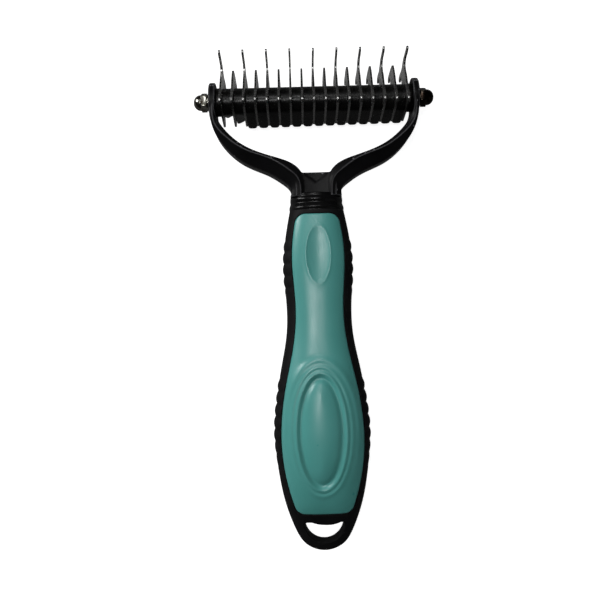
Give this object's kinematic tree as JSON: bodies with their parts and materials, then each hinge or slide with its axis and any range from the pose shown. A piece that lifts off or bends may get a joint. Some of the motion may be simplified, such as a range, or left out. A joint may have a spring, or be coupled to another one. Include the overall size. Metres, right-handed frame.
{
  "type": "deshedding tool",
  "caption": "Two-sided pet undercoat rake: hooked steel plates and spacers on a cross rod in a wishbone yoke, on a soft-grip handle with thumb hollows and a hanging loop.",
  "frame": {"origin": "centre of the bounding box's underside: the tool lies on its back on the surface z = 0", "axes": "+Y along the handle towards the head, +Z from the back panel to the front panel, +X along the rod"},
  "size_m": [0.1006, 0.2082, 0.0304],
  "materials": {
    "blade_steel": "satin",
    "spacer_plastic": "gloss",
    "nut_plating": "polished",
    "rod_steel": "plated",
    "yoke_plastic": "satin",
    "collar_plastic": "gloss",
    "core_plastic": "matte",
    "grip_rubber": "satin",
    "panel_teal": "satin"
  },
  "bodies": {
    "handle": {"yoke": "yoke_plastic", "neck_collar": "collar_plastic", "shank_pin": "rod_steel", "handle_core": "core_plastic", "grip_frame": "grip_rubber", "front_panel": "panel_teal", "back_panel": "panel_teal"},
    "blade_pack": {"blade_long_1": "blade_steel", "blade_long_2": "blade_steel", "blade_long_3": "blade_steel", "blade_long_4": "blade_steel", "blade_long_5": "blade_steel", "blade_long_6": "blade_steel", "blade_long_7": "blade_steel", "blade_long_8": "blade_steel", "blade_long_9": "blade_steel", "blade_short_1": "blade_steel", "blade_short_2": "blade_steel", "blade_short_3": "blade_steel", "blade_short_4": "blade_steel", "blade_short_5": "blade_steel", "blade_short_6": "blade_steel", "blade_short_7": "blade_steel", "blade_short_8": "blade_steel", "spacer_1": "spacer_plastic", "spacer_2": "spacer_plastic", "spacer_3": "spacer_plastic", "spacer_4": "spacer_plastic", "spacer_5": "spacer_plastic", "spacer_6": "spacer_plastic", "spacer_7": "spacer_plastic", "spacer_8": "spacer_plastic", "spacer_9": "spacer_plastic", "spacer_10": "spacer_plastic", "spacer_11": "spacer_plastic", "spacer_12": "spacer_plastic", "spacer_13": "spacer_plastic", "spacer_14": "spacer_plastic", "spacer_15": "spacer_plastic", "spacer_16": "spacer_plastic", "end_bush_left": "spacer_plastic", "end_bush_right": "spacer_plastic", "nut_washer_left": "nut_plating", "nut_washer_right": "nut_plating", "cap_nut_left": "nut_plating", "cap_nut_right": "nut_plating", "threaded_rod": "rod_steel"}
  },
  "joints": [
    {"name": "blade_pack_turn", "type": "hinge", "parent": "handle", "child": "blade_pack", "pos_m": [0, 0.08472, 0.01542], "axis": [1, 0, 0], "range_deg": [-10, 35]}
  ]
}
